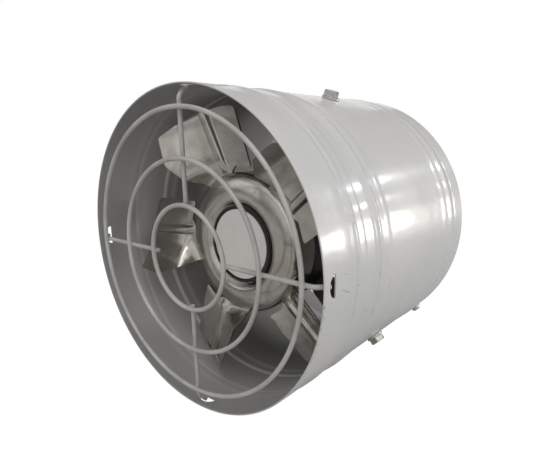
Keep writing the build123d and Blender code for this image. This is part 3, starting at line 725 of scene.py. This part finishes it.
# Corners of the flat blade: outwards, across, and the radius of the corner.
OUTLINE = (
    (46.6, -3.2, 0.4),
    (49.2, -4.8, 1.2),
    (51.6, -8.5, 2.5),
    (47.9, -21.8, 1.2),
    (88.4, -18.7, 4.5),
    (90.4, -7.0, 14.0),
    (89.8, 5.5, 14.0),
    (85.6, 22.9, 3.0),
    (79.5, 30.6, 4.0),
    (60.6, 30.8, 9.0),
    (50.0, 25.9, 3.0),
    (43.0, 21.4, 0.4),
    (45.2, 9.0, 4.0),
)


def rounded_outline(corners):
    """A closed outline with each corner (x, z, radius) replaced by an arc."""
    outline = []
    for i, (x, z, radius) in enumerate(corners):
        corner = Vector((x, z))
        before = Vector(corners[i - 1][:2]) - corner
        after = Vector(corners[(i + 1) % len(corners)][:2]) - corner
        half = before.angle(after) / 2
        reach = min(radius / math.tan(half), before.length * 0.48, after.length * 0.48)
        radius = reach * math.tan(half)
        first = corner + before.normalized() * reach
        last = corner + after.normalized() * reach
        centre = corner + (before.normalized() + after.normalized()).normalized() * radius / math.sin(half)
        steps = max(2, int(radius * 2))
        for step in range(steps + 1):
            direction = (first - centre).lerp(last - centre, step / steps).normalized()
            outline.append(centre + direction * radius)
    return outline


def section_height(section, z):
    """The height of a section of straight stretches at one place across the blade."""
    for (z0, y0), (z1, y1) in zip(section, section[1:]):
        if z <= z1:
            return y0 + (y1 - y0) * (z - z0) / (z1 - z0)
    return y1 + (y1 - y0) * (z - z1) / (z1 - z0)


def rib_middle(x):
    return (x - 49.0) * RIB_SLOPE


def blade_height(x, z):
    """How far back the blade's front face lies at (x, z), for a blade whose rib starts on the X axis."""
    along = (x - NECK_X) / (TIP_X - NECK_X)
    section = [(z0 + (z1 - z0) * along, y0 + (y1 - y0) * along) for (z0, y0), (z1, y1) in zip(NECK, TIP)]
    bend = [section_height(section, z + offset) for offset in BEND_SPREAD]
    height = sum(bend) / len(bend)
    height = ROOT_Y + (height - ROOT_Y) * smooth_step(math.hypot(x, z), *ROOT_BEND)
    across = abs(z - rib_middle(x))
    return height - RIB_HEIGHT * smooth_step(x, *RIB_RISE) * (1 - smooth_step(across, *RIB_SIDE))


def rib_lines():
    """Lines of points along the rib, so that the sheet's mesh follows its sides."""
    lines = []
    for offset in RIB_LINES:
        start = 48.0 if abs(offset) < 2.2 else 50.5
        count = int((RIB_END - start) / 1.5)
        xs = [start + (RIB_END - start) * i / count for i in range(count + 1)]
        lines.append([Vector((x, rib_middle(x) + offset)) for x in xs])
    return lines


def sheet_piece(name, outline, lines, height, thickness, spacing, material):
    """A sheet cut to an outline in (x, z), pressed to a height, with its edges closed."""
    low = Vector((min(p.x for p in outline), min(p.y for p in outline)))
    high = Vector((max(p.x for p in outline), max(p.y for p in outline)))
    flat = list(outline)
    edges = [(i, (i + 1) % len(outline)) for i in range(len(outline))]
    for line in lines:
        first = len(flat)
        flat += line
        edges += [(first + i, first + i + 1) for i in range(len(line) - 1)]
    clear_of_rib = RIB_LINES[-1] + 0.4
    for i in range(int((high.x - low.x) / spacing)):
        for j in range(int((high.y - low.y) / spacing)):
            spot = Vector((low.x + (i + 0.5 + 0.25 * (j % 2)) * spacing, low.y + (j + 0.5) * spacing))
            if abs(spot.y - rib_middle(spot.x)) > clear_of_rib or spot.x > RIB_END:
                flat.append(spot)
    verts, _, triangles, *_ = delaunay_2d_cdt(flat, edges, [], 1, 1e-4)
    front = [(v.x, height(v.x, v.y), v.y) for v in verts]
    count = len(front)
    points = front + [(x, y + thickness, z) for x, y, z in front]
    faces = [tuple(t) for t in triangles] + [tuple(i + count for i in reversed(t)) for t in triangles]
    open_edges = {}
    for t in triangles:
        for i in range(3):
            ends = (t[i], t[(i + 1) % 3])
            pair = frozenset(ends)
            open_edges[pair] = None if pair in open_edges else ends
    faces += [(b, a, a + count, b + count) for a, b in (ends for ends in open_edges.values() if ends)]
    return new_piece(name, points, faces, material, sharp=38)


blade_metal = metal_finish("blade_pressed_sheet", False)
blades = sheet_piece(
    "impeller_blades", rounded_outline(OUTLINE), rib_lines(), blade_height, BLADE_SHEET, 0.9, blade_metal
)
blade_step = 360.0 / BLADE_COUNT
run_tree(blades, rounds, count=BLADE_COUNT, first=FIRST_BLADE, step=blade_step, finish=blade_metal)
shade(blades, 38)
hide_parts(*[f"blade_{i + 1}" for i in range(BLADE_COUNT)])
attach(blades, "impeller")


# Hub cap: a black moulded disc snaps into the middle of the hub and hides the shaft's end. Its low rim
# stands round the label.
CAP_PROFILE = (
    (0.0, 44.2), (25.0, 44.2), (25.0, 43.5), (25.3, 43.32), (26.2, 43.32), (26.6, 43.6), (26.7, 44.2),
    (26.7, 45.2), (0.0, 45.2),
)
black = Finish("black_moulding", ior=1.5)
grime = black.noise(60.0, 4.0)
black.feed(
    base_color=black.mix(grime.ramp(0.4, 0.7), (0.012, 0.012, 0.013), (0.035, 0.034, 0.033)),
    roughness=0.38 + 0.25 * grime,
)
black.bumped(black.noise(900.0, 2.0), 0.0001, 0.4)
cap = turned("cap_ring", CAP_PROFILE, black.material, sides=120)
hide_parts("hub_cap")
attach(cap, "impeller")


# Hub label: a plain round of off-white film lies glued in the cap. It is bare, a little yellowed, and
# slightly crowned where the adhesive lifts it.
LABEL_PROFILE = (
    (0.0, 43.62), (8.0, 43.62), (16.0, 43.64), (22.0, 43.68), (23.3, 43.72), (23.9, 43.8), (23.9, 44.18),
    (0.0, 44.18),
)
YELLOWED = (0.80, 0.77, 0.725)
OFF_WHITE = (0.87, 0.845, 0.81)
SPECK = (0.25, 0.23, 0.2)
film = Finish("label_film", ior=1.45, coat_weight=0.2, coat_roughness=0.25)
fade = film.noise(35.0, 4.0)
specks = film.noise(600.0, 2.0).ramp(0.72, 0.78)
film_tone = film.mix(fade.ramp(0.35, 0.7), YELLOWED, OFF_WHITE)
film.feed(
    base_color=film.mix(specks * 0.3, film_tone, SPECK),
    roughness=0.42 + 0.15 * fade,
)
film.bumped(film.noise(40.0, 2.0), 0.0006, 0.3)
label = turned("label_disc", LABEL_PROFILE, film.material, sides=120)
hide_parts("hub_label")
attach(label, "impeller")


# Motor shell and shaft line: the rotor can is drawn steel in satin black and turns with the hub. The shaft,
# bearings and retaining ring are ground bright steel, pressed or clipped together. Copies of the solids are
# merged and shaded smooth, so that their turned faces look round.
def smooth_copy(node, material, body, sharp=28.0):
    """Stands a smooth-shaded copy in for a node, with the same shape."""
    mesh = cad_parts[node].data.copy()
    work = bmesh.new()
    work.from_mesh(mesh)
    bmesh.ops.remove_doubles(work, verts=work.verts, dist=2e-6)
    work.to_mesh(mesh)
    work.free()
    mesh.materials.clear()
    mesh.materials.append(material)
    piece = bpy.data.objects.new(f"{node}_finished", mesh)
    bpy.context.scene.collection.objects.link(piece)
    shade(piece, sharp)
    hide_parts(node)
    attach(piece, body)


def plain_metal(name, dark, light, rough, scale=80.0, metallic=1.0):
    """A metal or paint with cloudy tone, fine grain and a soft bump."""
    metal = Finish(name, metallic=metallic)
    cloud = metal.noise(scale, 4.0, roughness=0.6)
    grain = metal.noise(scale * 9, 2.0)
    metal.feed(
        base_color=metal.mix(cloud.ramp(0.35, 0.65), dark, light),
        roughness=rough + 0.14 * cloud + 0.06 * grain,
    )
    metal.bumped(cloud * 0.6 + grain * 0.15, 0.0004, 0.4)
    return metal.material


can_black = plain_metal("motor_black_paint", (0.012, 0.012, 0.013), (0.03, 0.03, 0.032), 0.32, metallic=0.0)
bright = plain_metal("ground_steel", (0.5, 0.5, 0.5), (0.66, 0.66, 0.66), 0.16)
laminate = plain_metal("lamination_steel", (0.18, 0.17, 0.165), (0.3, 0.29, 0.28), 0.42)
cast = plain_metal("cast_aluminium_rough", (0.4, 0.4, 0.405), (0.55, 0.55, 0.56), 0.4, 120.0)
smooth_copy("rotor_can", can_black, "impeller")
smooth_copy("rotor_core", laminate, "impeller")
smooth_copy("rotor_cage", cast, "impeller")
for node in ("motor_shaft", "retaining_ring", "front_bearing_inner_race", "rear_bearing_inner_race"):
    smooth_copy(node, bright, "impeller")
for bearing_piece in ("outer_race", "balls"):
    for end in ("front", "rear"):
        smooth_copy(f"{end}_bearing_{bearing_piece}", bright, "casing", sharp=50)


# Stator: varnished laminations are pressed on the tube of a cast aluminium flange. They carry copper coils,
# whose bundled ends are tied and dipped in varnish.
copper = Finish("varnished_copper", ior=1.5, coat_weight=0.6, coat_roughness=0.15)
radius, angle, along = copper.around()
strands = copper.noise(1.0, 2.0, vector=copper.spot(angle * 9.0, radius * 2400.0, along * 2400.0))
copper.feed(
    base_color=copper.mix(strands.ramp(0.35, 0.65), (0.16, 0.05, 0.015), (0.5, 0.2, 0.07)),
    metallic=0.5 + 0.4 * strands,
    roughness=0.3 + 0.2 * strands,
)
copper.bumped(strands, 0.0006, 0.8)
smooth_copy("stator_core", laminate, "casing")
smooth_copy("stator_winding", copper.material, "casing")
smooth_copy("stator_flange", cast, "casing")


# Motor bracket: a three-legged spider pressed from thicker steel sheet, its feet rolled to the casing's
# curve. It is painted with the casing and carries the motor by its flange.
# Its paint takes the tube's inside colour, so it carries the same painted shade as the casing's inside.
smooth_copy("motor_bracket", paint.material, "casing")


# Casing bolts, washers and nuts: zinc-plated hex bolts come through the casing on plain washers and are held
# by nuts against the bracket's feet. Each head is forged with a chamfered top.
HEX_FLATS = 10.0
CHAMFER = 0.62
HEAD_HEIGHT = 4.0
WASHER_SHEET = 1.6
WASHER_R = 6.2
WASHER_EDGE_R = 5.9
NUT_SEAT = 96.33
NUT_THICK = 5.0
SHANK_END = 88.0
THREAD_TURNS = 11
PITCH = 1.0
THREAD_ROOT = 2.62
THREAD_CREST = 3.0
zinc = plain_metal("zinc_plate", (0.46, 0.455, 0.43), (0.64, 0.63, 0.6), 0.24, 150.0)


def hex_radius(turn):
    """The radius of the hexagon by angle, with a flat side facing along the tube."""
    inside = (turn + math.pi / 6) % (math.pi / 3) - math.pi / 6
    return HEX_FLATS / 2 / math.cos(inside)


def chamfered(outer, direction):
    """The height of a forged hexagon's edge by angle: its corners are cut back in a shallow arc."""
    return lambda turn: outer - direction * max(0.0, hex_radius(turn) - HEX_FLATS / 2) * CHAMFER


head_base = CASE_R + WASHER_SHEET
head_top = head_base + HEAD_HEIGHT
head_rings = [
    (head_base, 4.6),
    (head_base + 0.2, hex_radius),
    (chamfered(head_top - 0.25, 1), hex_radius),
    (head_top, 4.7),
    (head_top - 0.15, 3.6),
]
head = stack("bolt_head", head_rings, 0.0, BOLT_Y, zinc, sharp=24)
thread_rings = [(SHANK_END - 0.5, 2.4), (SHANK_END, 2.85)]
for turn in range(THREAD_TURNS):
    foot = SHANK_END + turn * PITCH
    thread_rings += [(foot + 0.15, THREAD_ROOT), (foot + 0.35, THREAD_ROOT)]
    thread_rings += [(foot + 0.62, THREAD_CREST), (foot + 0.85, THREAD_CREST)]
thread_rings.append((head_base + 0.1, 2.95))
shank = stack("bolt_shank", thread_rings, 0.0, BOLT_Y, zinc, sides=24)
bolts = joined("bolts_through_casing", [head, shank])
run_tree(bolts, rounds, count=3, first=BOLT_ANGLES[0], step=120.0, finish=zinc)
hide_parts("casing_bolts")
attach(bolts, "casing")

washer_rings = [
    (CASE_R, BOLT_HOLE_R),
    (CASE_R, WASHER_EDGE_R),
    (CASE_R + 0.25, WASHER_R),
    (CASE_R + WASHER_SHEET - 0.25, WASHER_R),
    (CASE_R + WASHER_SHEET, WASHER_EDGE_R),
    (CASE_R + WASHER_SHEET, BOLT_HOLE_R),
]
washers = stack("washers_on_casing", washer_rings, 0.0, BOLT_Y, zinc, closed=True)
run_tree(washers, rounds, count=3, first=BOLT_ANGLES[0], step=120.0, finish=zinc)
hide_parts("bolt_washers")
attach(washers, "casing")

nut_end = NUT_SEAT - NUT_THICK
nut_rings = [
    (NUT_SEAT, 3.1),
    (NUT_SEAT, 4.7),
    (chamfered(NUT_SEAT - 0.25, 1), hex_radius),
    (chamfered(nut_end + 0.25, -1), hex_radius),
    (nut_end, 4.7),
    (nut_end, 3.4),
    (nut_end + 0.4, 3.05),
]
nuts = stack("nuts_on_feet", nut_rings, 0.0, BOLT_Y, zinc, closed=True, sharp=24)
run_tree(nuts, rounds, count=3, first=BOLT_ANGLES[0], step=120.0, finish=zinc)
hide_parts("bracket_nuts")
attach(nuts, "casing")


# Small screws and the earth point: zinc-plated pan-head screws hold the stator flange and the capacitor's
# strap. The earth screw stands near the rear rim on a washer, with its nut inside.
EARTH_BASE = CASE_R + 0.8
EARTH_TOP = EARTH_BASE + 2.75
CROSS_HALF = (0.45, 2.2)
CROSS_DEPTH = 1.4


def bar_radius(width, length):
    """The radius of a narrow bar by angle."""

    def at(turn):
        by_width = width / max(abs(math.cos(turn)), 1e-6)
        by_length = length / max(abs(math.sin(turn)), 1e-6)
        return min(by_width, by_length)

    return at


def bar_cutter(width, length):
    """One of the two bars of a cross recess."""
    bar = bar_radius(width, length)
    bar_rings = [(EARTH_TOP - CROSS_DEPTH, bar), (EARTH_TOP + 1, bar)]
    return stack("cross", bar_rings, EARTH_ANGLE, EARTH_Y, zinc, sides=80)


for node in ("flange_screws", "strap_screws", "earth_washer", "earth_nut"):
    smooth_copy(node, zinc, "casing")

earth_rings = [
    (CASE_R - 8, 1.6),
    (CASE_R - 7.6, 2.0),
    (EARTH_BASE, 2.0),
    (EARTH_BASE, 3.6),
    (EARTH_BASE + 0.3, 3.9),
    (EARTH_BASE + 1.3, 3.8),
    (EARTH_TOP - 0.6, 3.2),
    (EARTH_TOP - 0.15, 2.2),
    (EARTH_TOP, 1.0),
]
earth = stack("earth_screw_pan_head", earth_rings, EARTH_ANGLE, EARTH_Y, zinc, sides=40)
cut(earth, [bar_cutter(*CROSS_HALF), bar_cutter(*reversed(CROSS_HALF))])
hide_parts("earth_screw")
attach(earth, "casing")


# Run capacitor and its strap: a black moulded block lies behind the bracket. A strap bent from zinc-plated
# strip holds it there with two screws.
smooth_copy("run_capacitor", black.material, "casing")
smooth_copy("capacitor_strap", zinc, "casing")


# Cable gland: moulded black nylon, with a hex body outside and a locknut inside the casing. A clamping nut
# with a rounded crown presses a soft rubber seal round the cable.
nylon = plain_metal("gland_nylon", (0.014, 0.014, 0.015), (0.03, 0.03, 0.031), 0.42, 200.0, metallic=0.0)
smooth_copy("gland_body", nylon, "casing")
smooth_copy("gland_locknut", nylon, "casing")
smooth_copy("gland_nut", nylon, "casing")
smooth_copy("gland_seal", nylon, "casing")


# Floor, sky and lamps: a plain pale floor under a white sky. Three small lamps far behind to the right draw
# the bright patches on the casing, as windows would. Wide soft ones stand above, right, left and behind, and
# one in front on the left lights the hub.
FLOOR_HALF = 20.0
GLOW = 1.16
GLOW_SHARE = 0.86
SKY_WEAKEST = 0.25
SKY_GAIN = 0.56
SKY_TOWARDS = (0.5, -0.4, 0.77)
AIM = (0.0, 0.09, 0.0)
floor_low = cad_box[0][2]
floor_mesh = bpy.data.meshes.new("floor")
floor_corners = [
    (-FLOOR_HALF, -FLOOR_HALF, floor_low),
    (FLOOR_HALF, -FLOOR_HALF, floor_low),
    (FLOOR_HALF, FLOOR_HALF, floor_low),
    (-FLOOR_HALF, FLOOR_HALF, floor_low),
]
floor_mesh.from_pydata(floor_corners, [], [(0, 1, 2, 3)])
floor = bpy.data.objects.new("floor", floor_mesh)
bpy.context.scene.collection.objects.link(floor)
floor_finish = Finish("floor_pale", roughness=0.9)
floor_cloud = floor_finish.noise(3.0, 2.0)
floor_finish.feed(base_color=floor_finish.mix(floor_cloud, (0.50, 0.50, 0.50), (0.54, 0.54, 0.54)))
floor_tree = floor_finish.tree
floor_rays = add_node(floor_tree, "ShaderNodeLightPath").socket.node.outputs
glow_share = Wire(floor_tree, floor_rays["Is Camera Ray"]) * GLOW_SHARE
glow = add_node(floor_tree, "ShaderNodeEmission", None, {"Color": (1, 1, 1, 1), "Strength": GLOW})
mixer = floor_tree.nodes.new("ShaderNodeMixShader")
output = next(n for n in floor_tree.nodes if n.type == "OUTPUT_MATERIAL")
floor_tree.links.new(glow_share.socket, mixer.inputs[0])
floor_tree.links.new(floor_finish.shader.outputs[0], mixer.inputs[1])
floor_tree.links.new(glow.socket, mixer.inputs[2])
floor_tree.links.new(mixer.outputs[0], output.inputs["Surface"])
floor_mesh.materials.append(floor_finish.material)

world = bpy.data.worlds.new("surroundings")
bpy.context.scene.world = world
world.use_nodes = True
sky = world.node_tree
background = sky.nodes["Background"]
direction = add_node(sky, "ShaderNodeTexCoord", output=0)
facing = add_node(
    sky, "ShaderNodeVectorMath", {"operation": "DOT_PRODUCT"}, [direction, SKY_TOWARDS], output=1
)
level = facing.ramp(0.0, 0.9) * SKY_GAIN + SKY_WEAKEST
sky_rays = add_node(sky, "ShaderNodeLightPath").socket.node.outputs
seen = Wire(sky, sky_rays["Is Camera Ray"])
strength = seen + (1.0 - seen) * level
sky.links.new(strength.socket, background.inputs["Strength"])
background.inputs["Color"].default_value = (1.0, 1.0, 1.0, 1.0)


def lamp(name, place, size, power, colour):
    """A rectangular soft lamp that faces the fan."""
    data = bpy.data.lights.new(name, "AREA")
    data.shape = "RECTANGLE"
    data.size, data.size_y = size
    data.energy = power
    data.color = colour
    light = bpy.data.objects.new(name, data)
    light.location = place
    light.rotation_euler = (Vector(AIM) - Vector(place)).to_track_quat("-Z", "Y").to_euler()
    light.visible_camera = False
    bpy.context.scene.collection.objects.link(light)


lamp("low_window", (0.88, 1.3, 0.05), (0.34, 0.22), 3.4, (1.0, 0.95, 0.88))
lamp("middle_window", (0.76, 1.3, 0.33), (0.12, 0.05), 0.6, (1.0, 0.98, 0.95))
lamp("high_window", (0.62, 1.3, 0.52), (0.14, 0.07), 0.8, (0.96, 0.98, 1.0))
lamp("above", (0.62, -0.42, 1.25), (1.0, 1.0), 5.9, (1.0, 0.985, 0.96))
lamp("right", (1.3, 0.62, 0.42), (0.9, 0.9), 2.6, (0.98, 0.99, 1.0))
lamp("left", (-1.1, 0.5, 0.7), (0.8, 0.8), 4.0, (1.0, 0.98, 0.95))
lamp("left_front", (-1.07, -0.9, 0.46), (0.9, 0.42), 0.72, (0.97, 0.985, 1.0))
lamp("rear", (-0.9, 1.5, 0.35), (0.8, 0.8), 1.6, (1.0, 1.0, 1.0))

bpy.context.scene.view_settings.view_transform = "Standard"
